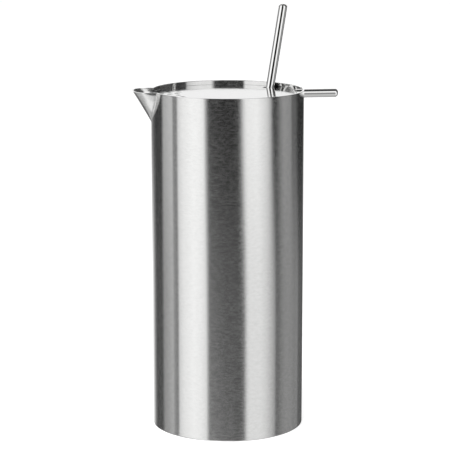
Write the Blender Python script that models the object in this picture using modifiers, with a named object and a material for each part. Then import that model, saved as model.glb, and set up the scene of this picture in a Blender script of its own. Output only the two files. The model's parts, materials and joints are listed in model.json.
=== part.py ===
"""Martini pitcher with a strainer lid and a leaning stirrer, in metres, +Z up.

The origin is the middle of the underside, the spout points along -X and the lid's handle along +X.
"""

import math

import bmesh
import bpy
from mathutils import Matrix, Vector

COLLECTION_NAME = "martini_pitcher"

# Clearances shared by all pieces
SEAT_GAP = 0.0003
CUT_OVERRUN = 0.004
WELD_DISTANCE = 0.00001
SHARP_ANGLE = math.radians(32)

# Pitcher wall: a plain brushed tube
BODY_DIAMETER = 0.085
BODY_HEIGHT = 0.190
BODY_WALL = 0.001
RIM_ROUNDING = 0.00022
FOOT_ROUNDING = 0.0005
BODY_SIDES = 128

# Base disc, let into the foot of the wall
BASE_THICKNESS = 0.0012
BASE_ROUNDING = 0.0003

# Spout: a scoop that grows out of the wall below the rim, a blunt U in plan
SPOUT_REACH = 0.0107
SPOUT_DEPTH = 0.0174
SPOUT_HALF_WIDTH = 0.0124
SPOUT_WALL = 0.001
SPOUT_BLUNTNESS = 2.7
SPOUT_ROWS = 18
SPOUT_ARC_STEPS = 24
SPOUT_LAST_ROW_SHARE = 0.985

# Strainer plate, which drops inside the rim
PLATE_THICKNESS = 0.001
PLATE_DROP = 0.0025
PLATE_PLAY = 0.0004
PLATE_ROUNDING = 0.0002
STRAINER_HOLE_DIAMETER = 0.003
STRAINER_ROW_PITCH = 0.0042
STRAINER_HOLE_PITCH = 0.0069
STRAINER_EDGE_MARGIN = 0.0048
STRAINER_ROW_COUNTS = (4, 5, 4)
HOLE_SIDES = 24

# Rest lugs inside the wall, under the plate
LUG_WIDTH = 0.006
LUG_PROJECTION = 0.003
LUG_HEIGHT = 0.0015
LUG_CORNER = 0.0008
LUG_ANGLE = math.radians(125)

# Lid handle: a polished rod that lies in a notch of the rim
HANDLE_DIAMETER = 0.0048
HANDLE_OVERHANG = 0.0195
HANDLE_GRIP_ON_PLATE = 0.0031
ROD_END_ROUNDING = 0.0017
ROD_FOOT_ROUNDING = 0.0005
ROD_SIDES = 32
ROUNDING_STEPS = 4

# Stirrer: a rod that leans out through the plate's edge, and an oval spoon
STIRRER_LENGTH = 0.2398
STIRRER_DIAMETER = 0.0048
STIRRER_LEAN = math.radians(14.4)
STIRRER_AZIMUTH = math.radians(43.0)
STIRRER_PLAY = 0.0009
STIRRER_NOTCH_RUN = 0.0013
SPOON_LENGTH = 0.038
SPOON_WIDTH = 0.024
SPOON_THICKNESS = 0.001
SPOON_DISH = 0.0024
SPOON_FLAT_EDGE = 0.0034
SPOON_EDGE_SHARE = 0.8
SPOON_SLIT = 0.003
SPOON_SIDES = 48
SPOON_DISH_STEPS = 7

# Sizes that follow from the ones above
BODY_RADIUS = BODY_DIAMETER / 2
INNER_RADIUS = BODY_RADIUS - BODY_WALL
SPOUT_RIDGE_ANGLE = math.atan2(SPOUT_REACH, SPOUT_DEPTH)
PLATE_RADIUS = INNER_RADIUS - PLATE_PLAY
PLATE_TOP = BODY_HEIGHT - PLATE_DROP
PLATE_MIDDLE = PLATE_TOP - PLATE_THICKNESS / 2
PLATE_UNDERSIDE = PLATE_TOP - PLATE_THICKNESS
HANDLE_RADIUS = HANDLE_DIAMETER / 2
HANDLE_INNER_END = PLATE_RADIUS - HANDLE_GRIP_ON_PLATE
HANDLE_LENGTH = BODY_RADIUS + HANDLE_OVERHANG - HANDLE_INNER_END
STIRRER_RADIUS = STIRRER_DIAMETER / 2
STIRRER_RIM_RADIUS = INNER_RADIUS - SEAT_GAP - STIRRER_RADIUS / math.cos(STIRRER_LEAN)
STIRRER_TIP_HEIGHT = BASE_THICKNESS + SEAT_GAP + SPOON_THICKNESS / 2 * math.sin(STIRRER_LEAN)


def empty_the_scene():
    """Remove every object, so the script can be run again in the same file."""
    for old in list(bpy.data.objects):
        bpy.data.objects.remove(old, do_unlink=True)


def new_collection(name):
    collection = bpy.data.collections.get(name) or bpy.data.collections.new(name)
    if collection.name not in bpy.context.scene.collection.children:
        bpy.context.scene.collection.children.link(collection)
    return collection


def steel(name, colour, roughness):
    """A stainless finish: brushed when rough, mirror polished when smooth."""
    material = bpy.data.materials.new(name)
    material.use_nodes = True
    shader = material.node_tree.nodes["Principled BSDF"]
    shader.inputs["Base Color"].default_value = (*colour, 1)
    shader.inputs["Metallic"].default_value = 1
    shader.inputs["Roughness"].default_value = roughness
    return material


def add_object(name, mesh, collection, parent=None):
    obj = bpy.data.objects.new(name, mesh)
    collection.objects.link(obj)
    obj.parent = parent
    return obj


def mark_cutter(obj):
    """Cutters are guides only: they are drawn as wires and never rendered."""
    obj.hide_render = True
    obj.display_type = "WIRE"
    return obj


def cut(obj, cutter, operation="DIFFERENCE"):
    modifier = obj.modifiers.new(cutter.name, "BOOLEAN")
    modifier.operation = operation
    modifier.solver = "EXACT"
    modifier.object = cutter


def apply_modifiers(obj):
    """Replace the mesh by its evaluated form, shaded smooth with sharp edges kept."""
    bpy.context.view_layer.update()
    evaluated = obj.evaluated_get(bpy.context.evaluated_depsgraph_get())
    mesh = bpy.data.meshes.new_from_object(evaluated)
    obj.modifiers.clear()
    obj.data = mesh
    mesh.name = obj.name
    mesh.shade_smooth()
    mesh.set_sharp_from_angle(angle=SHARP_ANGLE)


def rounded_corner(before, corner, after, radius, steps):
    """Points of the arc that rounds the corner between two straight runs."""
    to_before = (before - corner).normalized()
    to_after = (after - corner).normalized()
    half = to_before.angle(to_after) / 2
    centre = corner + (to_before + to_after).normalized() * radius / math.sin(half)
    start = corner + to_before * radius / math.tan(half) - centre
    end = corner + to_after * radius / math.tan(half) - centre
    points = []
    for step in range(steps + 1):
        share = step / steps
        spoke = start * (1 - share) + end * share
        points.append(centre + spoke.normalized() * radius)
    return points


def rounded_outline(corners, radii, steps=ROUNDING_STEPS, closed=True):
    """Outline through the corners, each rounded by its own radius where that is over zero."""
    points = []
    count = len(corners)
    for index, corner in enumerate(corners):
        at_end = not closed and index in (0, count - 1)
        if radii[index] == 0 or at_end:
            points.append(corner)
            continue
        before = corners[index - 1]
        after = corners[(index + 1) % count]
        points += rounded_corner(before, corner, after, radii[index], steps)
    return points


def turned(name, outline, sides, closed, collection, parent=None):
    """Turn an outline of radius and height about Z; it runs down the outer side."""
    mesh = bpy.data.meshes.new(name)
    count = len(outline)
    edges = [(index, (index + 1) % count) for index in range(count if closed else count - 1)]
    mesh.from_pydata([(point.x, 0, point.y) for point in outline], edges, [])
    obj = add_object(name, mesh, collection, parent)
    screw = obj.modifiers.new("turn", "SCREW")
    screw.steps = sides
    screw.render_steps = sides
    screw.use_merge_vertices = True
    screw.merge_threshold = WELD_DISTANCE
    return obj


def cylinder_cutter(name, radius, low, high, collection, at=(0, 0), sides=BODY_SIDES):
    mesh = bpy.data.meshes.new(name)
    body = bmesh.new()
    bmesh.ops.create_cone(
        body, cap_ends=True, segments=sides, radius1=radius, radius2=radius, depth=high - low
    )
    body.to_mesh(mesh)
    body.free()
    obj = mark_cutter(add_object(name, mesh, collection))
    obj.location = (*at, (low + high) / 2)
    return obj


def box(name, size, collection, parent=None):
    mesh = bpy.data.meshes.new(name)
    body = bmesh.new()
    bmesh.ops.create_cube(body, size=1, matrix=Matrix.Diagonal((*size, 1)))
    body.to_mesh(mesh)
    body.free()
    return add_object(name, mesh, collection, parent)


def slot_cutter(name, width, run, depth, collection):
    """A slot with one round end: its arc is centred on the origin and it opens along +X."""
    half = width / 2
    points = [(run, -half), (run, half)]
    for step in range(HOLE_SIDES // 2 + 1):
        angle = math.pi * (0.5 + step / (HOLE_SIDES // 2))
        points.append((half * math.cos(angle), half * math.sin(angle)))
    curve = bpy.data.curves.new(name, "CURVE")
    curve.dimensions = "2D"
    curve.fill_mode = "BOTH"
    curve.extrude = depth / 2
    line = curve.splines.new("POLY")
    line.use_cyclic_u = True
    line.points.add(len(points) - 1)
    for point, place in zip(line.points, points):
        point.co = (*place, 0, 1)
    drawn = add_object(name + "_outline", curve, collection)
    bpy.context.view_layer.update()
    flat = drawn.evaluated_get(bpy.context.evaluated_depsgraph_get())
    mesh = bpy.data.meshes.new_from_object(flat)
    bpy.data.objects.remove(drawn, do_unlink=True)
    body = bmesh.new()
    body.from_mesh(mesh)
    bmesh.ops.remove_doubles(body, verts=body.verts, dist=WELD_DISTANCE)
    bmesh.ops.recalc_face_normals(body, faces=body.faces)
    body.to_mesh(mesh)
    body.free()
    return mark_cutter(add_object(name, mesh, collection))


def loft(name, sections, collection):
    """Close a solid through sections that all have the same number of points."""
    body = bmesh.new()
    rows = [[body.verts.new(point) for point in section] for section in sections]
    count = len(rows[0])
    for upper, lower in zip(rows, rows[1:]):
        for index in range(count):
            after = (index + 1) % count
            body.faces.new((upper[index], upper[after], lower[after], lower[index]))
    body.faces.new(rows[0])
    body.faces.new(list(reversed(rows[-1])))
    bmesh.ops.recalc_face_normals(body, faces=body.faces)
    mesh = bpy.data.meshes.new(name)
    body.to_mesh(mesh)
    body.free()
    return add_object(name, mesh, collection)


def spout_section(share, inset, height):
    """The scoop's outline in plan at one share of its depth, closed inside the wall.

    The ridge runs straight from the tip to the apex. The line where the scoop meets the wall
    narrows with the square of the depth, so its sides stand upright at the rim.
    """
    reach = (SPOUT_REACH - inset / math.cos(SPOUT_RIDGE_ANGLE)) * (1 - share)
    half_width = (SPOUT_HALF_WIDTH - inset) * (1 - share * share)
    wall_x = math.sqrt(BODY_RADIUS**2 - half_width**2)
    run = BODY_RADIUS + reach - wall_x
    inner_end = INNER_RADIUS - CUT_OVERRUN
    points = [Vector((-inner_end, -half_width, height))]
    for step in range(SPOUT_ARC_STEPS + 1):
        angle = math.pi * (step / SPOUT_ARC_STEPS - 0.5)
        along = math.cos(angle) ** (2 / SPOUT_BLUNTNESS) if 0 < step < SPOUT_ARC_STEPS else 0
        across = math.copysign(abs(math.sin(angle)) ** (2 / SPOUT_BLUNTNESS), math.sin(angle))
        points.append(Vector((-wall_x - run * along, half_width * across, height)))
    points.append(Vector((-inner_end, half_width, height)))
    return points


def spout_body(name, inset, collection):
    """A filled scoop: the outer form, or with an inset the hollow inside the sheet."""
    depth = SPOUT_DEPTH - inset / math.sin(SPOUT_RIDGE_ANGLE)
    sections = []
    if inset > 0:
        sections.append(spout_section(0, inset, BODY_HEIGHT + CUT_OVERRUN))
    for row in range(SPOUT_ROWS + 1):
        share = SPOUT_LAST_ROW_SHARE * row / SPOUT_ROWS
        sections.append(spout_section(share, inset, BODY_HEIGHT - share * depth))
    return loft(name, sections, collection)


def make_body_tube(parts, cutters, material):
    corners = [
        Vector((BODY_RADIUS, BODY_HEIGHT)),
        Vector((BODY_RADIUS, 0)),
        Vector((INNER_RADIUS, 0)),
        Vector((INNER_RADIUS, BODY_HEIGHT)),
    ]
    radii = (RIM_ROUNDING, FOOT_ROUNDING, 0, RIM_ROUNDING)
    outline = rounded_outline(corners, radii, steps=ROUNDING_STEPS // 2)
    tube = turned("body_tube", outline, BODY_SIDES, True, parts)
    window = mark_cutter(spout_body("spout_window", SPOUT_WALL, cutters))
    notch_width = HANDLE_DIAMETER + 2 * SEAT_GAP
    notch = slot_cutter("handle_notch", notch_width, BODY_HEIGHT, CUT_OVERRUN * 2, cutters)
    notch.rotation_euler = (0, -math.pi / 2, 0)
    notch.location = (BODY_RADIUS, 0, PLATE_MIDDLE)
    cut(tube, window)
    cut(tube, notch)
    apply_modifiers(tube)
    tube.data.materials.append(material)


def make_base_disc(parts, material):
    radius = INNER_RADIUS - SEAT_GAP
    corners = [
        Vector((0, BASE_THICKNESS)),
        Vector((radius, BASE_THICKNESS)),
        Vector((radius, 0)),
        Vector((0, 0)),
    ]
    radii = (0, BASE_ROUNDING, BASE_ROUNDING, 0)
    outline = rounded_outline(corners, radii, steps=ROUNDING_STEPS // 2, closed=False)
    disc = turned("base_disc", outline, BODY_SIDES, False, parts)
    apply_modifiers(disc)
    disc.data.materials.append(material)


def make_spout(parts, cutters, material):
    """The sheet between two scoops, ended on the wall's outer side."""
    spout = spout_body("spout", 0, parts)
    cut(spout, mark_cutter(spout_body("spout_hollow", SPOUT_WALL, cutters)))
    low = BODY_HEIGHT - SPOUT_DEPTH * 2
    high = BODY_HEIGHT + CUT_OVERRUN
    cut(spout, cylinder_cutter("spout_wall_cut", BODY_RADIUS + SEAT_GAP, low, high, cutters))
    apply_modifiers(spout)
    spout.data.materials.append(material)


def make_rest_lugs(parts, cutters, material):
    """Two tabs on the inside of the wall; with the rim's notch they carry the lid."""
    outer = INNER_RADIUS - SEAT_GAP
    top = PLATE_UNDERSIDE - SEAT_GAP
    bore = cylinder_cutter("lug_bore", outer, top - BODY_HEIGHT / 2, BODY_HEIGHT, cutters)
    for side, sign in (("left", -1), ("right", 1)):
        depth = LUG_PROJECTION + BODY_WALL
        size = (depth, LUG_WIDTH, LUG_HEIGHT)
        lug = box("rest_lug_" + side, size, parts)
        angle = sign * LUG_ANGLE
        middle = outer - LUG_PROJECTION + depth / 2
        place = Vector((middle * math.cos(angle), middle * math.sin(angle), top - LUG_HEIGHT / 2))
        lug.location = place
        lug.rotation_euler = (0, 0, angle)
        bevel = lug.modifiers.new("round", "BEVEL")
        bevel.width = LUG_CORNER / 2
        bevel.segments = ROUNDING_STEPS // 2
        bevel.limit_method = "ANGLE"
        cut(lug, bore, "INTERSECT")
        apply_modifiers(lug)
        lug.data.materials.append(material)


def strainer_hole_places():
    """Staggered arcs of holes, evenly spaced about the spout's line."""
    places = []
    radius = PLATE_RADIUS - STRAINER_EDGE_MARGIN
    for count in STRAINER_ROW_COUNTS:
        for index in range(count):
            angle = (index - (count - 1) / 2) * STRAINER_HOLE_PITCH / radius
            places.append((-radius * math.cos(angle), radius * math.sin(angle)))
        radius -= STRAINER_ROW_PITCH
    return places


def make_strainer_plate(parts, cutters, lid_axis, material):
    corners = [
        Vector((0, PLATE_THICKNESS / 2)),
        Vector((PLATE_RADIUS, PLATE_THICKNESS / 2)),
        Vector((PLATE_RADIUS, -PLATE_THICKNESS / 2)),
        Vector((0, -PLATE_THICKNESS / 2)),
    ]
    radii = (0, PLATE_ROUNDING, PLATE_ROUNDING, 0)
    outline = rounded_outline(corners, radii, steps=ROUNDING_STEPS // 2, closed=False)
    plate = turned("strainer_plate", outline, BODY_SIDES, False, parts, lid_axis)
    low = PLATE_UNDERSIDE - CUT_OVERRUN
    high = PLATE_TOP + CUT_OVERRUN
    for index, place in enumerate(strainer_hole_places()):
        name = "strainer_hole_" + str(index)
        radius = STRAINER_HOLE_DIAMETER / 2
        cut(plate, cylinder_cutter(name, radius, low, high, cutters, place, HOLE_SIDES))
    width = STIRRER_DIAMETER + 2 * STIRRER_PLAY
    notch = slot_cutter("stirrer_notch", width, BODY_RADIUS, CUT_OVERRUN, cutters)
    stem = STIRRER_RIM_RADIUS - (BODY_HEIGHT - PLATE_MIDDLE) * math.tan(STIRRER_LEAN)
    radius = stem - STIRRER_NOTCH_RUN
    across = Vector((math.cos(STIRRER_AZIMUTH), math.sin(STIRRER_AZIMUTH), 0))
    notch.location = across * radius + Vector((0, 0, PLATE_MIDDLE))
    notch.rotation_euler = (0, 0, STIRRER_AZIMUTH)
    cut(plate, notch)
    apply_modifiers(plate)
    plate.data.materials.append(material)


def rod(name, length, radius, foot_rounding, collection, parent):
    """A turned rod that stands on the origin, with a domed top end and a trimmed foot."""
    corners = [
        Vector((0, length)),
        Vector((radius, length)),
        Vector((radius, 0)),
        Vector((0, 0)),
    ]
    radii = (0, ROD_END_ROUNDING, foot_rounding, 0)
    outline = rounded_outline(corners, radii, closed=False)
    return turned(name, outline, ROD_SIDES, False, collection, parent)


def make_lid_handle(parts, cutters, lid_axis, material):
    handle = rod("lid_handle", HANDLE_LENGTH, HANDLE_RADIUS, ROD_FOOT_ROUNDING, parts, lid_axis)
    handle.location = (HANDLE_INNER_END, 0, 0)
    handle.rotation_euler = (0, math.pi / 2, 0)
    low = PLATE_UNDERSIDE - SEAT_GAP
    high = PLATE_TOP + SEAT_GAP
    slit = cylinder_cutter("handle_slit", PLATE_RADIUS + SEAT_GAP, low, high, cutters)
    cut(handle, slit)
    apply_modifiers(handle)
    handle.data.materials.append(material)


def make_stirrer_stem(parts, cutters, stirrer_axis, material):
    foot = SPOON_LENGTH - SPOON_SLIT
    length = STIRRER_LENGTH - foot
    stem = rod("stirrer_stem", length, STIRRER_RADIUS, ROD_FOOT_ROUNDING, parts, stirrer_axis)
    stem.location = (0, 0, foot)
    slit_size = (SPOON_THICKNESS + 2 * SEAT_GAP, 2 * STIRRER_DIAMETER, 2 * (SPOON_SLIT + SEAT_GAP))
    slit = mark_cutter(box("stem_slit", slit_size, cutters, stirrer_axis))
    slit.location = (0, 0, foot)
    cut(stem, slit)
    apply_modifiers(stem)
    stem.data.materials.append(material)


def make_stirrer_spoon(parts, stirrer_axis, material):
    """An oval spoon: a turned dish with a flat edge, narrowed to its width."""
    half = SPOON_THICKNESS / 2
    radius = SPOON_LENGTH / 2
    dish_radius = radius - SPOON_FLAT_EDGE
    dish = []
    for step in range(SPOON_DISH_STEPS + 1):
        share = step / SPOON_DISH_STEPS
        fall = SPOON_DISH * (1 + math.cos(math.pi * share)) / 2
        dish.append(Vector((dish_radius * share, -fall)))
    corners = [point + Vector((0, half)) for point in dish]
    corners += [Vector((radius, half)), Vector((radius, -half))]
    corners += [point - Vector((0, half)) for point in reversed(dish)]
    radii = [0] * len(corners)
    edge = len(dish)
    radii[edge] = radii[edge + 1] = half * SPOON_EDGE_SHARE
    outline = rounded_outline(corners, radii, steps=ROUNDING_STEPS // 2, closed=False)
    spoon = turned("stirrer_spoon", outline, SPOON_SIDES, False, parts, stirrer_axis)
    apply_modifiers(spoon)
    spoon.data.transform(Matrix.Diagonal((1, SPOON_WIDTH / SPOON_LENGTH, 1, 1)))
    spoon.location = (0, 0, radius)
    spoon.rotation_euler = (0, -math.pi / 2, 0)
    spoon.data.materials.append(material)


def axis_empty(name, location, rotation, collection):
    empty = add_object(name, None, collection)
    empty.location = location
    empty.rotation_euler = rotation
    return empty


def main():
    empty_the_scene()
    parts = new_collection(COLLECTION_NAME)
    cutters = new_collection("cutters")
    lid_axis = axis_empty("lid_lift_axis", (0, 0, PLATE_MIDDLE), (0, 0, 0), parts)
    tip_radius = STIRRER_RIM_RADIUS - (BODY_HEIGHT - STIRRER_TIP_HEIGHT) * math.tan(STIRRER_LEAN)
    tip = (
        tip_radius * math.cos(STIRRER_AZIMUTH),
        tip_radius * math.sin(STIRRER_AZIMUTH),
        STIRRER_TIP_HEIGHT,
    )
    turn = (0, STIRRER_LEAN, STIRRER_AZIMUTH)
    stirrer_axis = axis_empty("stirrer_lift_axis", tip, turn, parts)

    make_body_tube(parts, cutters, steel("brushed_body_steel", (0.60, 0.60, 0.59), 0.28))
    make_base_disc(parts, steel("base_steel", (0.58, 0.58, 0.57), 0.32))
    make_spout(parts, cutters, steel("brushed_spout_steel", (0.62, 0.62, 0.61), 0.26))
    make_rest_lugs(parts, cutters, steel("lug_steel", (0.60, 0.60, 0.59), 0.25))
    make_strainer_plate(parts, cutters, lid_axis, steel("mirror_plate_steel", (0.78, 0.78, 0.77), 0.04))
    make_lid_handle(parts, cutters, lid_axis, steel("polished_handle_steel", (0.76, 0.76, 0.75), 0.05))
    make_stirrer_stem(parts, cutters, stirrer_axis, steel("polished_stem_steel", (0.76, 0.76, 0.75), 0.05))
    make_stirrer_spoon(parts, stirrer_axis, steel("polished_spoon_steel", (0.76, 0.76, 0.75), 0.07))


main()
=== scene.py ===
import json
import math

import bmesh
import bpy
from mathutils import Matrix, Vector


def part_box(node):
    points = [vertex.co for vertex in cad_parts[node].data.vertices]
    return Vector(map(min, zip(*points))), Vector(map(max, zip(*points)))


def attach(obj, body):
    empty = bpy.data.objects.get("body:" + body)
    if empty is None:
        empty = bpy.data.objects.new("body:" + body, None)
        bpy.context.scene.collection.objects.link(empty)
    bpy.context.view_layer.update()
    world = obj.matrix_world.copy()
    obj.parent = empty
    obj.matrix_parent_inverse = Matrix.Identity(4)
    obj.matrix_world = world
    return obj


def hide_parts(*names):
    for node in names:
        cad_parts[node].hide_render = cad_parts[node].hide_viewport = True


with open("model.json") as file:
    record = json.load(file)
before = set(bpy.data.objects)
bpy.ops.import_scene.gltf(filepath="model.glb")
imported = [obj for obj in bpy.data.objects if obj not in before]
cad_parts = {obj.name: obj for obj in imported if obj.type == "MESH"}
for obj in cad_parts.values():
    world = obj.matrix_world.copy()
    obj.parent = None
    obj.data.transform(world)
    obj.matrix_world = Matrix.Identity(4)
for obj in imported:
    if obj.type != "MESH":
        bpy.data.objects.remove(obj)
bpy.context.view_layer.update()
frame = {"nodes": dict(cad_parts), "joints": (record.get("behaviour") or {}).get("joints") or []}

print("frame loaded:", ", ".join(sorted(frame["nodes"])))

mm = 0.001
photoWidth = 450  # pixels
cutOverrun = 4 * mm  # how far a cutter runs out past what it cuts

# Sizes read from the fixed model
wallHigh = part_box("body_tube")[1]
plateLow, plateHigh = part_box("strainer_plate")
handleLow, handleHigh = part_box("lid_handle")
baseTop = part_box("base_disc")[1].z
wallRadius = wallHigh.y
wallTop = wallHigh.z
plateRadius = plateHigh.y
plateMiddle = (plateLow.z + plateHigh.z) / 2
plateThickness = plateHigh.z - plateLow.z
stirrerJoint = next(joint for joint in frame["joints"] if joint["name"] == "stirrer_lift")
stirrerLine = Vector(stirrerJoint["axis"]).normalized()

# Mesh making

meshSet = {
    "mergeDistance": 0.002 * mm,
    "creaseAngle": 32,  # degrees
    "barSides": 64,
    "straightOn": 0.97,  # a face counts as outside or inside when it looks this straight that way
}


def smoothAll(mesh, angle=meshSet["creaseAngle"]):
    mesh.shade_smooth()
    mesh.set_sharp_from_angle(angle=math.radians(angle))


# Pieces ride on a body, and may stand for nodes of the fixed model
def placePiece(name, mesh, body, materials, nodes=()):
    piece = bpy.data.objects.new(name, mesh)
    bpy.context.scene.collection.objects.link(piece)
    for material in materials:
        mesh.materials.append(material)
    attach(piece, body)
    if nodes:
        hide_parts(*nodes)


def meshFrom(name, body):
    mesh = bpy.data.meshes.new(name)
    body.to_mesh(mesh)
    body.free()
    return mesh


# The final mesh of a curve, or of an object with modifiers. The object itself is then removed.
def finishedMesh(holder):
    bpy.context.scene.collection.objects.link(holder)
    bpy.context.view_layer.update()
    mesh = bpy.data.meshes.new_from_object(holder.evaluated_get(bpy.context.evaluated_depsgraph_get()))
    bpy.data.objects.remove(holder, do_unlink=True)
    return mesh


def cutBy(mesh, cutters):
    work = bpy.data.objects.new("work", mesh)
    helpers = []
    for index, cutter in enumerate(cutters):
        helper = bpy.data.objects.new("cutter" + str(index), cutter)
        bpy.context.scene.collection.objects.link(helper)
        helpers.append(helper)
        cut = work.modifiers.new("cut", "BOOLEAN")
        cut.operation = "DIFFERENCE"
        cut.solver = "EXACT"
        cut.object = helper
    made = finishedMesh(work)
    for helper in helpers:
        bpy.data.objects.remove(helper, do_unlink=True)
    return made


def addLine(curve, points, closed):
    line = curve.splines.new("POLY")
    line.use_cyclic_u = closed
    line.points.add(len(points) - 1)
    for target, point in zip(line.points, points):
        target.co = (*point, 1)


def cornerArc(before, corner, after, radius, steps):
    toBefore = (before - corner).normalized()
    toAfter = (after - corner).normalized()
    half = toBefore.angle(toAfter) / 2
    centre = corner + (toBefore + toAfter).normalized() * radius / math.sin(half)
    start = corner + toBefore * radius / math.tan(half) - centre
    end = corner + toAfter * radius / math.tan(half) - centre
    points = []
    for step in range(steps + 1):
        spoke = start.lerp(end, step / steps)
        points.append(centre + spoke.normalized() * radius)
    return points


# Corners are given as radius, height and rounding
def roundedOutline(corners, steps):
    points = []
    flat = [Vector((corner[0], corner[1])) for corner in corners]
    for index, corner in enumerate(corners):
        rounding = corner[2]
        if rounding == 0:
            points.append(flat[index])
        else:
            after = flat[(index + 1) % len(flat)]
            points += cornerArc(flat[index - 1], flat[index], after, rounding, steps)
    return points


def turnOutline(outline, sides, closed=False):
    body = bmesh.new()
    verts = [body.verts.new((point.x, 0, point.y)) for point in outline]
    ahead = verts[1:] + verts[:1] if closed else verts[1:]
    edges = [body.edges.new(pair) for pair in zip(verts, ahead)]
    bmesh.ops.spin(
        body, geom=verts + edges, cent=(0, 0, 0), axis=(0, 0, 1), angle=math.tau, steps=sides
    )
    bmesh.ops.remove_doubles(body, verts=body.verts, dist=meshSet["mergeDistance"])
    bmesh.ops.recalc_face_normals(body, faces=body.faces)
    return body


def loftSections(sections):
    body = bmesh.new()
    rows = [[body.verts.new(point) for point in section] for section in sections]
    count = len(rows[0])
    for upper, lower in zip(rows, rows[1:]):
        for index in range(count):
            after = (index + 1) % count
            body.faces.new((upper[index], upper[after], lower[after], lower[index]))
    body.faces.new(rows[0])
    body.faces.new(list(reversed(rows[-1])))
    bmesh.ops.recalc_face_normals(body, faces=body.faces)
    return body


def roundBar(radius, low, high, matrix, sides=meshSet["barSides"]):
    body = bmesh.new()
    move = matrix @ Matrix.Translation((0, 0, (low + high) / 2))
    bmesh.ops.create_cone(
        body, cap_ends=True, segments=sides, radius1=radius, radius2=radius, depth=high - low, matrix=move
    )
    return meshFrom("bar", body)


def boxBar(size, middle):
    body = bmesh.new()
    bmesh.ops.create_cube(body, size=1, matrix=Matrix.Translation(middle) @ Matrix.Diagonal((*size, 1)))
    return meshFrom("box", body)


# Steel finishes

noiseMiddle = 0.5
noiseSpread = (0.35, 0.65)  # where most of a noise's values lie


# Adds nodes and links to one tree
class Nodes:

    def __init__(self, tree):
        self.tree = tree

    def add(self, kind, inputs=(), **values):
        node = self.tree.nodes.new(kind)
        for name, value in values.items():
            setattr(node, name, value)
        for key, value in dict(inputs).items():
            if hasattr(value, "is_output"):
                self.tree.links.new(value, node.inputs[key])
            else:
                node.inputs[key].default_value = value
        return node

    def math(self, operation, first, second):
        return self.add("ShaderNodeMath", {0: first, 1: second}, operation=operation).outputs[0]


def newMaterial(name):
    material = bpy.data.materials.new(name)
    material.use_nodes = True
    material.node_tree.nodes.clear()
    return material, Nodes(material.node_tree)


# A value moved from one range to another
def remap(n, value, start, end, low=0.0, high=1.0):
    ends = {"Value": value, "From Min": start, "From Max": end, "To Min": low, "To Max": high}
    return n.add("ShaderNodeMapRange", ends).outputs[0]


def noise(n, place, scale, detail, roughness=0.5):
    ends = {"Vector": place, "Scale": scale, "Detail": detail, "Roughness": roughness}
    return n.add("ShaderNodeTexNoise", ends).outputs[0]


# Noise with its own scale along each axis
def drawnNoise(n, place, scales, detail, roughness=0.5):
    drawn = n.add("ShaderNodeMapping", {"Vector": place, "Scale": scales}).outputs[0]
    return noise(n, drawn, 1.0, detail, roughness)


def tinted(n, colour, tone):
    return n.add("ShaderNodeVectorMath", {0: colour, "Scale": tone}, operation="SCALE").outputs[0]


def bumped(n, height, strength, depth):
    return n.add("ShaderNodeBump", {"Height": height, "Strength": strength, "Distance": depth}).outputs[0]


def addSurface(n, values):
    shader = n.add("ShaderNodeBsdfPrincipled", values)
    n.add("ShaderNodeOutputMaterial", {"Surface": shader.outputs[0]})


wallLook = {
    "colour": (0.66, 0.66, 0.655),
    "roughness": 0.1,
    "roughShift": 0.012,
    "anisotropy": 0.9,
    "rotation": 0.25,
    "fineScale": (430.0, 430.0, 1250.0),
    "fineRoughness": 0.6,
    "longScale": (140.0, 140.0, 900.0),
    "longRoughness": 0.5,
    "longShare": 0.1,
    "lineDetail": 2.0,
    "handlingScale": 22.0,
    "handlingDetail": 3.0,
    "handlingShare": 0.25,
    "toneShift": 0.055,
    "scatter": 0.085,
    "lineStrength": 0.42,
    "lineDepth": 0.01 * mm,
}
insideLook = dict(wallLook, roughness=0.06, roughShift=0.02, colour=(0.74, 0.74, 0.735))
spoutLook = dict(wallLook, roughness=0.14, colour=(0.68, 0.68, 0.675), anisotropy=0.5)


# Steel with fine lines round the axis: it mirrors sharply sideways and smears up and down
def brushedSteel(name, look):
    material, n = newMaterial(name)
    place = n.add("ShaderNodeTexCoord").outputs["Object"]
    fineLines = drawnNoise(n, place, look["fineScale"], look["lineDetail"], look["fineRoughness"])
    longLines = drawnNoise(n, place, look["longScale"], look["lineDetail"], look["longRoughness"])
    fineShare = n.math("MULTIPLY", fineLines, 1 - look["longShare"])
    lines = n.math("ADD", fineShare, n.math("MULTIPLY", longLines, look["longShare"]))
    tone = remap(n, lines, *noiseSpread, 1 - look["toneShift"], 1 + look["toneShift"])
    handling = noise(n, place, look["handlingScale"], look["handlingDetail"])
    handled = n.math("MULTIPLY", n.math("SUBTRACT", handling, noiseMiddle), look["handlingShare"])
    smoothest = look["roughness"] - look["roughShift"]
    roughest = look["roughness"] + look["roughShift"]
    tangent = n.add("ShaderNodeTangent", direction_type="RADIAL", axis="Z")
    addSurface(n, {
        "Base Color": tinted(n, look["colour"], tone),
        "Metallic": remap(n, lines, *noiseSpread, 1.0, 1 - look["scatter"]),
        "Roughness": remap(n, n.math("ADD", lines, handled), *noiseSpread, smoothest, roughest),
        "Anisotropic": look["anisotropy"],
        "Anisotropic Rotation": look["rotation"],
        "Normal": bumped(n, lines, look["lineStrength"], look["lineDepth"]),
        "Tangent": tangent.outputs[0],
    })
    return material


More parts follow.
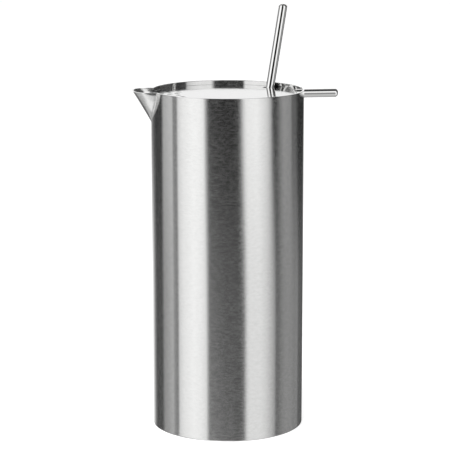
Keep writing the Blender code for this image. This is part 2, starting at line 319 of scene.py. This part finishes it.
plateLook = {
    "colour": (0.80, 0.80, 0.795),
    "roughness": 0.055,
    "markedRoughness": 2.0,  # times the roughness, where the marks are deepest
    "markRange": (0.5, 0.95),
    "wipeScale": 30.0,
    "wipeDetail": 4.0,
    "wipeRoughness": 0.6,
    "wipeRange": (0.3, 0.7),
    "wipeTones": (0.985, 1.01),
    "hairScale": (900.0, 60.0, 60.0),
    "hairDetail": 2.0,
    "hairShare": 0.4,
    "hairStrength": 0.02,
    "hairDepth": 0.01 * mm,
}
rodLook = dict(plateLook, colour=(0.86, 0.86, 0.855), roughness=0.015)
edgeLook = dict(plateLook, colour=(0.92, 0.92, 0.915), roughness=0.09)


# Mirror polish with faint wipe marks and a few hairlines
def polishedSteel(name, look):
    material, n = newMaterial(name)
    place = n.add("ShaderNodeTexCoord").outputs["Object"]
    wipes = noise(n, place, look["wipeScale"], look["wipeDetail"], look["wipeRoughness"])
    hairlines = drawnNoise(n, place, look["hairScale"], look["hairDetail"])
    marks = n.math("ADD", wipes, n.math("MULTIPLY", hairlines, look["hairShare"]))
    roughest = look["roughness"] * look["markedRoughness"]
    addSurface(n, {
        "Base Color": tinted(n, look["colour"], remap(n, wipes, *look["wipeRange"], *look["wipeTones"])),
        "Metallic": 1.0,
        "Roughness": remap(n, marks, *look["markRange"], look["roughness"], roughest),
        "Normal": bumped(n, hairlines, look["hairStrength"], look["hairDepth"]),
    })
    return material


wallSteel = brushedSteel("brushedWall", wallLook)
insideSteel = brushedSteel("insideWall", insideLook)
spoutSteel = brushedSteel("brushedSpout", spoutLook)
plateSteel = polishedSteel("mirrorPlate", plateLook)
rodSteel = polishedSteel("polishedRod", rodLook)
edgeSteel = polishedSteel("groundEdge", edgeLook)
print("steel finishes made")

# Spout scoop, shared by the spout and the window behind it

spoutSizes = {
    "reach": 10.7 * mm,
    "depth": 17.4 * mm,
    "halfWidth": 12.4 * mm,
    "sheet": 1.0 * mm,
    "bluntness": 2.7,  # 2 is a round nose, and more is squarer
    "lastRow": 0.985,  # the share of the depth where the scoop closes
    "rows": 48,
    "arcSteps": 64,
    "letIn": 0.15 * mm,  # into the wall round the window
    "boreDepth": 60 * mm,
    "creaseAngle": 40,
}
spoutLean = math.atan2(spoutSizes["reach"], spoutSizes["depth"])


# The outline in plan at one share of the depth: the ridge falls straight to the apex
def scoopSection(share, inset, innerEnd, height):
    reach = (spoutSizes["reach"] - inset / math.cos(spoutLean)) * (1 - share)
    halfWidth = (spoutSizes["halfWidth"] - inset) * (1 - share * share)
    wallX = math.sqrt(wallRadius**2 - halfWidth**2)
    run = wallRadius + reach - wallX
    power = 2 / spoutSizes["bluntness"]
    steps = spoutSizes["arcSteps"]
    points = [Vector((-innerEnd, -halfWidth, height))]
    for step in range(steps + 1):
        angle = math.pi * (step / steps - 0.5)
        along = math.cos(angle) ** power if 0 < step < steps else 0
        across = math.copysign(abs(math.sin(angle)) ** power, math.sin(angle))
        points.append(Vector((-wallX - run * along, halfWidth * across, height)))
    points.append(Vector((-innerEnd, halfWidth, height)))
    return points


def scoopMesh(name, inset, innerEnd):
    depth = spoutSizes["depth"] - inset / math.sin(spoutLean)
    sections = []
    if inset > 0:
        sections.append(scoopSection(0, inset, innerEnd, wallTop + cutOverrun))
    for row in range(spoutSizes["rows"] + 1):
        share = spoutSizes["lastRow"] * row / spoutSizes["rows"]
        sections.append(scoopSection(share, inset, innerEnd, wallTop - share * depth))
    return meshFrom(name, loftSections(sections))


# Wall

wallSizes = {
    "sheet": 1.0 * mm,
    "sides": 256,
    "rimRounding": 0.22 * mm,
    "footRounding": 0.5 * mm,
    "roundingSteps": 5,
    "edgeBand": 0.15 * mm,  # keeps the long faces' shading straight
    "notchWidth": 5.4 * mm,
}
wallInside = wallRadius - wallSizes["sheet"]


def wallTube():
    high = wallTop - wallSizes["rimRounding"] - wallSizes["edgeBand"]
    low = wallSizes["footRounding"] + wallSizes["edgeBand"]
    corners = [
        (wallRadius, wallTop, wallSizes["rimRounding"]),
        (wallRadius, high, 0),
        (wallRadius, low, 0),
        (wallRadius, 0, wallSizes["footRounding"]),
        (wallInside, 0, 0),
        (wallInside, low, 0),
        (wallInside, high, 0),
        (wallInside, wallTop, wallSizes["rimRounding"]),
    ]
    outline = roundedOutline(corners, wallSizes["roundingSteps"])
    return meshFrom("wall", turnOutline(outline, wallSizes["sides"], closed=True))


# A U in the rim, as deep as the middle of the plate, for the lid's handle
def handleNotch():
    half = wallSizes["notchWidth"] / 2
    across = Matrix.Translation((wallRadius, 0, plateMiddle)) @ Matrix.Rotation(math.pi / 2, 4, "Y")
    floor = roundBar(half, -cutOverrun, cutOverrun, across)
    sides = boxBar((2 * cutOverrun, 2 * half, 2 * cutOverrun), (wallRadius, 0, plateMiddle + cutOverrun))
    return [floor, sides]


# Brushed outside, brighter inside, and ground edges for the rest
def finishWall(mesh):
    middle = wallInside + wallSizes["sheet"] / 2
    for face in mesh.polygons:
        outward = Vector((face.center.x, face.center.y, 0))
        lean = face.normal.dot(outward.normalized())
        if lean > meshSet["straightOn"] and outward.length > middle:
            face.material_index = 0
        elif lean < -meshSet["straightOn"] and outward.length < middle:
            face.material_index = 1
        else:
            face.material_index = 2
    smoothAll(mesh)


def makeWall():
    window = scoopMesh("window", spoutSizes["sheet"], wallInside - cutOverrun)
    mesh = cutBy(wallTube(), [window] + handleNotch())
    finishWall(mesh)
    steels = [wallSteel, insideSteel, edgeSteel]
    placePiece("wallShell", mesh, "pitcher", steels, ["body_tube"])


def makeSpout():
    innerEnd = wallRadius - cutOverrun
    hollow = scoopMesh("hollow", spoutSizes["sheet"], innerEnd)
    radius = wallRadius - spoutSizes["letIn"]
    low = wallTop - spoutSizes["boreDepth"]
    bore = roundBar(radius, low, wallTop + cutOverrun, Matrix.Identity(4), wallSizes["sides"])
    mesh = cutBy(scoopMesh("spout", 0, innerEnd), [hollow, bore])
    for face in mesh.polygons:
        face.material_index = 1 if face.normal.z > meshSet["straightOn"] else 0
    smoothAll(mesh, spoutSizes["creaseAngle"])
    placePiece("spoutScoop", mesh, "pitcher", [spoutSteel, edgeSteel], ["spout"])


weldSizes = {
    "radius": 0.16 * mm,
    "drop": 0.3 * mm,  # at the rim, so that the bead ends below it
    "steps": 24,
    "roundness": 4,
    "creaseAngle": 60,
}


# The ground bead where the spout's sheet meets the wall
def makeSpoutWeld():
    curve = bpy.data.curves.new("spoutWeld", "CURVE")
    curve.dimensions = "3D"
    curve.bevel_depth = weldSizes["radius"]
    curve.bevel_resolution = weldSizes["roundness"]
    curve.use_fill_caps = True
    places = []
    for step in range(-weldSizes["steps"], weldSizes["steps"] + 1):
        share = 1 - abs(step) / weldSizes["steps"]
        side = 1 if step > 0 else -1
        width = side * spoutSizes["halfWidth"] * (1 - share * share)
        height = wallTop - spoutSizes["depth"] * share - weldSizes["drop"] * (1 - share)
        places.append((-math.sqrt(wallRadius**2 - width**2), width, height))
    addLine(curve, places, closed=False)
    mesh = finishedMesh(bpy.data.objects.new("weldLine", curve))
    mesh.materials.clear()
    smoothAll(mesh, weldSizes["creaseAngle"])
    placePiece("spoutWeld", mesh, "pitcher", [edgeSteel])


makeWall()
makeSpout()
makeSpoutWeld()
print("wall and spout made")

# Rods: the lid's handle and the stirrer's stem have the same ends

rodSizes = {
    "stemRadius": 2.4 * mm,
    "tipRounding": 1.7 * mm,
    "footRounding": 0.5 * mm,
    "roundingSteps": 12,
    "edgeBand": 0.15 * mm,
    "sides": 96,
    "rimGap": 0.3 * mm,  # between the stem and the inside of the rim
}
stemRadius = rodSizes["stemRadius"]
leanAngle = math.acos(stirrerLine.z)
leanAzimuth = math.atan2(stirrerLine.y, stirrerLine.x)
stemRimRadius = wallInside - rodSizes["rimGap"] - stemRadius / math.cos(leanAngle)


# How far the stem's middle is from the axis at one height
def stemRadiusAt(height):
    return stemRimRadius - (wallTop - height) * math.tan(leanAngle)


def turnedRod(length, radius):
    tip = rodSizes["tipRounding"]
    foot = rodSizes["footRounding"]
    corners = [
        (0, length, 0),
        (radius, length, tip),
        (radius, length - tip - rodSizes["edgeBand"], 0),
        (radius, foot + rodSizes["edgeBand"], 0),
        (radius, 0, foot),
        (0, 0, 0),
    ]
    return turnOutline(roundedOutline(corners, rodSizes["roundingSteps"]), rodSizes["sides"])


# Strainer plate

plateSizes = {
    "edgeRounding": 0.22 * mm,
    "edgeSteps": 3,
    "rimSteps": 280,
    "holeDiameter": 3.0 * mm,
    "holeSteps": 40,
    "rowPitch": 4.2 * mm,
    "holePitch": 6.9 * mm,
    "edgeMargin": 4.8 * mm,
    "rowCounts": (4, 5, 4),
    "notchWidth": 6.6 * mm,
    "notchRun": 1.3 * mm,
    "notchSteps": 24,
    "levelFace": 0.999,  # a face counts as flat when it looks this straight up or down
}


# A round rim with a U notch in it, turned to where the stem leans out
def plateRim():
    half = plateSizes["notchWidth"] / 2
    centre = stemRadiusAt(plateMiddle) - plateSizes["notchRun"]
    opening = math.asin(half / plateRadius)
    points = []
    for step in range(plateSizes["rimSteps"] + 1):
        angle = opening + (math.tau - 2 * opening) * step / plateSizes["rimSteps"]
        points.append(Vector((plateRadius * math.cos(angle), plateRadius * math.sin(angle))))
    for step in range(plateSizes["notchSteps"] + 1):
        angle = math.pi * (1.5 - step / plateSizes["notchSteps"])
        points.append(Vector((centre + half * math.cos(angle), half * math.sin(angle))))
    turn = Matrix.Rotation(leanAzimuth, 2)
    return [(turn @ point).to_3d() for point in points]


# Rows of holes that follow the rim on the spout's side
def strainerHoles():
    holes = []
    radius = plateRadius - plateSizes["edgeMargin"]
    for count in plateSizes["rowCounts"]:
        for index in range(count):
            angle = (index - (count - 1) / 2) * plateSizes["holePitch"] / radius
            middle = Vector((-radius * math.cos(angle), radius * math.sin(angle), 0))
            ring = []
            for step in range(plateSizes["holeSteps"]):
                spoke = -math.tau * step / plateSizes["holeSteps"]
                outward = Vector((math.cos(spoke), math.sin(spoke), 0))
                ring.append(middle + outward * plateSizes["holeDiameter"] / 2)
            holes.append(ring)
        radius -= plateSizes["rowPitch"]
    return holes


# Mirror faces stay flat up to their rounded edges
def finishPlate(mesh):
    body = bmesh.new()
    body.from_mesh(mesh)
    bmesh.ops.remove_doubles(body, verts=body.verts, dist=meshSet["mergeDistance"])
    bmesh.ops.recalc_face_normals(body, faces=body.faces)
    for face in body.faces:
        face.smooth = True
        face.material_index = 0 if abs(face.normal.z) > plateSizes["levelFace"] else 1
    for edge in body.edges:
        flats = [abs(face.normal.z) > plateSizes["levelFace"] for face in edge.link_faces]
        if True in flats and False in flats:
            edge.smooth = False
    bmesh.ops.translate(body, verts=body.verts, vec=(0, 0, plateMiddle))
    body.to_mesh(mesh)
    body.free()


def makePlate():
    bevel = plateSizes["edgeRounding"]
    curve = bpy.data.curves.new("plateOutline", "CURVE")
    curve.dimensions = "2D"
    curve.fill_mode = "BOTH"
    curve.extrude = plateThickness / 2 - bevel
    curve.bevel_depth = bevel
    curve.bevel_resolution = plateSizes["edgeSteps"]
    curve.offset = -bevel
    for loop in [plateRim()] + strainerHoles():
        addLine(curve, loop, closed=True)
    mesh = finishedMesh(bpy.data.objects.new("plateLine", curve))
    mesh.materials.clear()
    finishPlate(mesh)
    placePiece("strainerDisc", mesh, "lid", [plateSteel, edgeSteel], ["strainer_plate"])


# A rod along X with a slit that holds the plate's edge
def makeHandle():
    body = turnedRod(handleHigh.x - handleLow.x, (handleHigh.z - handleLow.z) / 2)
    middle = Matrix.Translation((handleLow.x, 0, plateMiddle))
    body.transform(middle @ Matrix.Rotation(math.pi / 2, 4, "Y"))
    slit = roundBar(plateRadius, plateLow.z, plateHigh.z, Matrix.Identity(4), wallSizes["sides"])
    mesh = cutBy(meshFrom("handle", body), [slit])
    smoothAll(mesh)
    placePiece("handleRod", mesh, "lid", [rodSteel], ["lid_handle"])


makePlate()
makeHandle()
print("strainer plate and handle made")

# Stirrer

stirrerSizes = {
    "length": 239.8 * mm,
    "floorGap": 0.3 * mm,
    "spoonLength": 38 * mm,
    "spoonWidth": 24 * mm,
    "spoonSheet": 1.0 * mm,
    "spoonSides": 128,
    "spoonEdge": 0.4 * mm,
    "spoonEdgeSteps": 4,
    "flatEdge": 3.4 * mm,
    "dish": 2.4 * mm,
    "dishSteps": 16,
    "slit": 3.0 * mm,
}


# Turns a piece made upright at the origin into the leaning stirrer's place
def stirrerPlace():
    tipHeight = baseTop + stirrerSizes["floorGap"] + stirrerSizes["spoonSheet"] / 2 * math.sin(leanAngle)
    out = stemRadiusAt(tipHeight)
    tip = Vector((out * math.cos(leanAzimuth), out * math.sin(leanAzimuth), tipHeight))
    turn = Matrix.Rotation(leanAzimuth, 4, "Z") @ Matrix.Rotation(leanAngle, 4, "Y")
    return Matrix.Translation(tip) @ turn


# The stem's slit foot straddles the spoon's upper edge
def makeStem():
    foot = stirrerSizes["spoonLength"] - stirrerSizes["slit"]
    body = turnedRod(stirrerSizes["length"] - foot, stemRadius)
    body.transform(Matrix.Translation((0, 0, foot)))
    slit = boxBar((stirrerSizes["spoonSheet"], 4 * stemRadius, 2 * stirrerSizes["slit"]), (0, 0, foot))
    mesh = cutBy(meshFrom("stem", body), [slit])
    mesh.transform(stirrerPlace())
    smoothAll(mesh)
    placePiece("stirrerRod", mesh, "stirrer", [rodSteel], ["stirrer_stem"])


# A round dish of sheet with a flat edge, drawn in to an oval
def makeSpoon():
    half = stirrerSizes["spoonSheet"] / 2
    edge = stirrerSizes["spoonEdge"]
    radius = stirrerSizes["spoonLength"] / 2
    dishRadius = radius - stirrerSizes["flatEdge"]
    dish = []
    for step in range(stirrerSizes["dishSteps"] + 1):
        share = step / stirrerSizes["dishSteps"]
        dish.append((dishRadius * share, -stirrerSizes["dish"] * (1 + math.cos(math.pi * share)) / 2))
    corners = [(out, height + half, 0) for out, height in dish]
    corners += [(radius, half, edge), (radius, -half, edge)]
    corners += [(out, height - half, 0) for out, height in reversed(dish)]
    outline = roundedOutline(corners, stirrerSizes["spoonEdgeSteps"])
    body = turnOutline(outline, stirrerSizes["spoonSides"])
    body.transform(Matrix.Diagonal((1, stirrerSizes["spoonWidth"] / stirrerSizes["spoonLength"], 1, 1)))
    upright = Matrix.Translation((0, 0, radius)) @ Matrix.Rotation(-math.pi / 2, 4, "Y")
    body.transform(stirrerPlace() @ upright)
    mesh = meshFrom("spoon", body)
    smoothAll(mesh)
    placePiece("stirrerSpoon", mesh, "stirrer", [rodSteel], ["stirrer_spoon"])


makeStem()
makeSpoon()
print("stirrer made")

# The base disc and the two rest lugs keep their shapes
for nodeName in ("base_disc", "rest_lug_left", "rest_lug_right"):
    kept = frame["nodes"][nodeName]
    kept.data.materials.clear()
    kept.data.materials.append(insideSteel)
print("base and lugs finished")

# Camera

cameraSet = {
    "azimuth": -7.5,  # degrees to the right of straight on
    "distance": 1.0495,
    "height": 0.3199,
    "pitch": 11.135,  # degrees down
    "turn": -0.076,
    "focalPixels": 1906.6,
    "sensor": 36.0,
    "nearest": 0.01,
    "farthest": 50.0,
}


def makeCamera():
    data = bpy.data.cameras.new("camera")
    data.sensor_width = cameraSet["sensor"]
    data.lens = cameraSet["sensor"] * cameraSet["focalPixels"] / photoWidth
    data.clip_start = cameraSet["nearest"]
    data.clip_end = cameraSet["farthest"]
    pitch = math.radians(cameraSet["pitch"])
    turn = math.radians(cameraSet["turn"])
    ahead = Vector((math.sin(turn) * math.cos(pitch), math.cos(turn) * math.cos(pitch), -math.sin(pitch)))
    swing = Matrix.Rotation(math.radians(cameraSet["azimuth"]), 3, "Z")
    camera = bpy.data.objects.new("camera", data)
    camera.location = swing @ Vector((0, -cameraSet["distance"], cameraSet["height"]))
    camera.rotation_euler = (swing @ ahead).to_track_quat("-Z", "Y").to_euler()
    bpy.context.scene.collection.objects.link(camera)
    bpy.context.scene.camera = camera


makeCamera()
print("camera set")

# Studio

# Zones of the surroundings by height, from straight down at -1 to straight up at 1.
# Each blends in between its start and its end.
studioZones = {
    "raised": (0.05, 0.08),
    "softbox": (0.2, 0.27),
    "ceiling": (0.6, 0.84),
    "overhead": (0.983, 0.995),
    "farTable": (-0.34, -0.385),
    "nearTable": (-0.7, -0.82),
}
# The cards at eye height lean: their top stands a little to the left, and their lower part to the right
cardLean = {
    "rise": (-0.09, -0.06),
    "riseTurn": 5.0,  # degrees
    "dip": (-0.15, -0.218),
    "dipTurn": 5.5,
    "dipSpread": 0.05,
}
# Cards round the pitcher: degrees right of the camera, then their level in the two zones named
studioCards = {
    "eyeAndLow": [
        (-180, 1.0, 1.4), (-168, 1.0, 1.4), (-162, 0.5, 1.25), (-155, 0.22, 1.1), (-144, 0.08, 0.35),
        (-135, 0.035, 0.09), (-118, 0.04, 0.095), (-111, 0.56, 0.37), (-92, 0.76, 0.57), (-88.7, 0.31, 0.37),
        (-82.8, 0.26, 0.25), (-79, 1.0, 0.95), (-71, 1.2, 1.18), (-55, 1.36, 1.34), (-44, 1.36, 1.24),
        (-36.6, 1.28, 1.08), (-31.6, 0.32, 0.27), (-28, 0.055, 0.2), (-19.6, 0.025, 0.165), (-8, 0.01, 0.125),
        (8, 0.01, 0.115), (14.7, 0.025, 0.11), (18.2, 0.2, 0.18), (23.8, 1.0, 0.93), (26.8, 1.24, 1.04),
        (44, 1.34, 1.06), (53, 1.14, 0.92), (61, 0.94, 0.7), (67, 0.58, 0.5), (70, 0.16, 0.24),
        (71.8, 0.03, 0.2), (75, 0.04, 0.2), (81, 0.15, 0.28), (86, 0.31, 0.33), (93, 0.41, 0.35),
        (104, 0.37, 0.34), (109.5, 0.33, 0.31), (112.5, 0.15, 0.3), (122, 0.14, 0.3), (127, 0.08, 0.17),
        (132, 0.03, 0.14), (140, 0.03, 0.12), (149, 0.03, 0.1), (157, 0.03, 0.5), (164, 0.3, 1.2),
        (169, 0.9, 1.4), (172, 1.0, 1.4), (180, 1.0, 1.4),
    ],
    "raisedAndSoftbox": [
        (-180, 0.96, 1.1), (-155, 0.96, 1.05), (-145, 0.3, 0.9), (-135, 0.15, 0.45), (-126, 0.2, 0.15),
        (-122, 0.6, 0.08), (-118, 0.5, 0.08), (-113, 0.18, 0.08), (-103, 0.2, 0.1), (-99, 0.45, 0.15),
        (-96, 0.5, 0.2), (-92, 0.07, 0.4), (-84, 0.03, 1.0), (-78, 0.02, 1.2), (-74, 1.0, 1.15),
        (-60, 1.15, 1.2), (-45, 1.2, 1.2), (-36, 1.2, 1.2), (-32, 1.2, 0.08), (-28, 1.2, 0.03),
        (-24, 0.05, 0.02), (-8, 0.035, 0.02), (8, 0.035, 0.02), (14.5, 0.05, 0.03), (17, 0.05, 0.9),
        (20, 0.06, 1.28), (26, 1.1, 1.3), (40, 1.1, 1.3), (45, 1.1, 1.25), (49, 1.08, 1.0),
        (53, 1.05, 0.5), (57, 1.0, 0.22), (60, 0.95, 0.16), (66, 0.75, 0.14), (69.5, 0.08, 0.12),
        (75, 0.04, 0.12), (86, 0.03, 0.12), (92, 0.08, 0.1), (105, 0.09, 0.06), (112, 0.08, 0.05),
        (128, 0.05, 0.05), (150, 0.05, 0.4), (160, 0.96, 1.1), (180, 0.96, 1.1),
    ],
    "farAndNearTable": [
        (-180, 0.03, 0.5), (-150, 0.05, 0.55), (-138, 0.15, 0.6), (-120, 0.5, 0.6), (-85, 0.6, 0.72),
        (-60, 0.75, 1.05), (-40, 1.15, 1.15), (-20, 1.12, 1.2), (-8, 1.0, 1.2), (8, 0.85, 1.15),
        (15, 0.5, 0.6), (20, 0.5, 0.6), (26, 1.0, 0.55), (45, 1.0, 0.5), (62, 0.7, 0.5),
        (120, 0.4, 0.5), (150, 0.1, 0.5), (180, 0.03, 0.5),
    ],
    "ceilingAndOverhead": [
        (-180, 0.75, 0.35), (-135, 0.7, 0.35), (-110, 0.05, 0.3), (150, 0.05, 0.3), (166, 0.1, 0.3),
        (172, 0.75, 0.35), (180, 0.75, 0.35),
    ],
}
fullTurn = 360
brightest = 2.0  # the level that the top of a curve stands for


def blendLevels(n, share, first, second):
    return n.add("ShaderNodeMix", {"Factor": share, 2: first, 3: second}).outputs[0]


# How far right of the camera a direction lies, from -pi to pi
def studioAngle(n, x, y):
    azimuth = math.radians(cameraSet["azimuth"])
    ahead = n.math("MULTIPLY", y, math.cos(azimuth))
    toCamera = n.math("SUBTRACT", n.math("MULTIPLY", x, math.sin(azimuth)), ahead)
    aside = n.math("MULTIPLY", y, math.sin(azimuth))
    toRight = n.math("ADD", n.math("MULTIPLY", x, math.cos(azimuth)), aside)
    return n.math("ARCTAN2", toRight, toCamera)


# Two rows of card levels, read at one angle from the two curves of a node
def cardLevels(n, cards, angle):
    share = n.math("ADD", n.math("DIVIDE", angle, math.tau), 0.5)
    both = n.add("ShaderNodeCombineXYZ", {"X": share, "Y": share}).outputs[0]
    curves = n.add("ShaderNodeRGBCurve", {"Color": both})
    curves.mapping.extend = "HORIZONTAL"
    for row in (0, 1):
        line = curves.mapping.curves[row]
        places = [(card[0] / fullTurn + 0.5, card[row + 1] / brightest) for card in cards]
        line.points[0].location = places[0]
        line.points[1].location = places[-1]
        for place in places[1:-1]:
            line.points.new(*place)
        for point in line.points:
            point.handle_type = "VECTOR"
    curves.mapping.update()
    read = n.add("ShaderNodeSeparateXYZ", {"Vector": curves.outputs[0]}).outputs
    return n.math("MULTIPLY", read[0], brightest), n.math("MULTIPLY", read[1], brightest)


def makeWorld():
    world = bpy.data.worlds.new("studio")
    bpy.context.scene.world = world
    world.use_nodes = True
    world.node_tree.nodes.clear()
    n = Nodes(world.node_tree)
    direction = n.add("ShaderNodeTexCoord").outputs["Generated"]
    x, y, z = n.add("ShaderNodeSeparateXYZ", {"Vector": direction}).outputs
    angle = studioAngle(n, x, y)
    rise = remap(n, z, *cardLean["rise"])
    dip = remap(n, z, *cardLean["dip"])
    risen = n.math("ADD", angle, n.math("MULTIPLY", rise, math.radians(cardLean["riseTurn"])))
    spread = n.math("SUBTRACT", 1.0, n.math("MULTIPLY", dip, cardLean["dipSpread"]))
    hang = n.math("MULTIPLY", dip, math.radians(cardLean["dipTurn"]))
    leaning = n.math("SUBTRACT", n.math("MULTIPLY", risen, spread), hang)
    eye, low = cardLevels(n, studioCards["eyeAndLow"], leaning)
    zones = {}
    zones["raised"], zones["softbox"] = cardLevels(n, studioCards["raisedAndSoftbox"], angle)
    zones["ceiling"], zones["overhead"] = cardLevels(n, studioCards["ceilingAndOverhead"], angle)
    zones["farTable"], zones["nearTable"] = cardLevels(n, studioCards["farAndNearTable"], angle)
    level = blendLevels(n, dip, eye, low)
    for zone, zoneLevel in zones.items():
        level = blendLevels(n, remap(n, z, *studioZones[zone]), level, zoneLevel)
    shown = n.add("ShaderNodeLightPath").outputs["Is Camera Ray"]
    strength = blendLevels(n, shown, level, 1.0)  # plain white behind the pitcher
    light = n.add("ShaderNodeBackground", {"Color": (1, 1, 1, 1), "Strength": strength})
    n.add("ShaderNodeOutputWorld", {"Surface": light.outputs[0]})


floorLook = {
    "size": 24.0,
    "drop": 0.1 * mm,
    "colour": (0.8, 0.8, 0.8, 1),
    "lift": 0.69,
}


# A pale floor that keeps the shadow. The steel mirrors the world's table levels in its place.
def makeFloor():
    body = bmesh.new()
    bmesh.ops.create_grid(body, x_segments=1, y_segments=1, size=floorLook["size"] / 2)
    bmesh.ops.translate(body, verts=body.verts, vec=(0, 0, -floorLook["drop"]))
    floor = bpy.data.objects.new("floor", meshFrom("floor", body))
    floor.visible_glossy = False
    bpy.context.scene.collection.objects.link(floor)
    material, n = newMaterial("paleFloor")
    diffuse = n.add("ShaderNodeBsdfDiffuse", {"Color": floorLook["colour"]})
    path = n.add("ShaderNodeLightPath").outputs
    mirrored = n.math("MAXIMUM", path["Is Glossy Ray"], path["Is Transmission Ray"])
    seen = n.math("MAXIMUM", path["Is Camera Ray"], mirrored)
    strength = n.math("MULTIPLY", seen, floorLook["lift"])
    lift = n.add("ShaderNodeEmission", {"Color": (1, 1, 1, 1), "Strength": strength})
    both = n.add("ShaderNodeAddShader", {0: diffuse.outputs[0], 1: lift.outputs[0]})
    n.add("ShaderNodeOutputMaterial", {"Surface": both.outputs[0]})
    floor.data.materials.append(material)


keyLight = {"place": (-0.6, -0.7, 1.9), "size": 1.4, "watts": 26}


def makeKeyLight():
    data = bpy.data.lights.new("softKey", "AREA")
    data.shape = "SQUARE"
    data.size = keyLight["size"]
    data.energy = keyLight["watts"]
    lamp = bpy.data.objects.new("softKey", data)
    lamp.location = keyLight["place"]
    lamp.rotation_euler = (-Vector(keyLight["place"])).to_track_quat("-Z", "Y").to_euler()
    lamp.visible_glossy = False
    lamp.visible_camera = False
    bpy.context.scene.collection.objects.link(lamp)


makeWorld()
makeFloor()
makeKeyLight()
bpy.context.scene.view_settings.view_transform = "Standard"
print("studio made")
